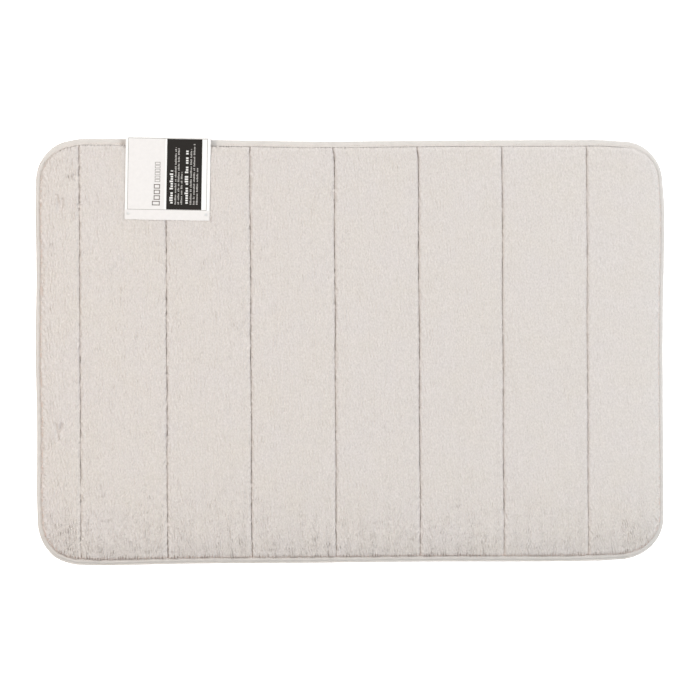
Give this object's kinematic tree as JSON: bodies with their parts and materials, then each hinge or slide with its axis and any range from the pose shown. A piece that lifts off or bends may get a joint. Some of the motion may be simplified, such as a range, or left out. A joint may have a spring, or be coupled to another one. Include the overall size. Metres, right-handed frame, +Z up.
{
  "type": "bath mat",
  "caption": "Rectangular quilted memory-foam bath mat with a plush top, pinched cross seams, a bound edge, a rubber-dotted underside and a card label pinned over one edge.",
  "frame": {"origin": "middle of the mat's outline, on the underside of the grip coat, which is the surface the mat lies on", "axes": "+X along the mat's length, away from the label; +Y across it, towards the edge that the label wraps; +Z up out of the plush"},
  "size_m": [0.762, 0.5181, 0.0152],
  "materials": {
    "plush": "matte",
    "foam": "matte",
    "backing": "matte",
    "grip": "satin",
    "binding_tape": "matte",
    "thread": "satin",
    "card": "satin",
    "tag_plastic": "gloss"
  },
  "bodies": {
    "right_half": {"plush_cover_right": "plush", "foam_core_right": "foam", "backing_right": "backing", "grip_layer_right": "grip", "edge_binding_right": "binding_tape", "binding_thread_right": "thread", "quilt_thread_5": "thread", "quilt_thread_6": "thread", "quilt_thread_7": "thread"},
    "left_half": {"plush_cover_left": "plush", "foam_core_left": "foam", "backing_left": "backing", "grip_layer_left": "grip", "edge_binding_left": "binding_tape", "binding_thread_left": "thread", "quilt_thread_1": "thread", "quilt_thread_2": "thread", "quilt_thread_3": "thread", "quilt_thread_4": "thread", "label_card": "card", "tag_pin_left": "tag_plastic", "tag_pin_right": "tag_plastic"}
  },
  "joints": [
    {"name": "fold", "type": "hinge", "parent": "right_half", "child": "left_half", "pos_m": [-0.0176, 0, 0.0148], "axis": [0, 1, 0], "range_deg": [0, 178]}
  ]
}
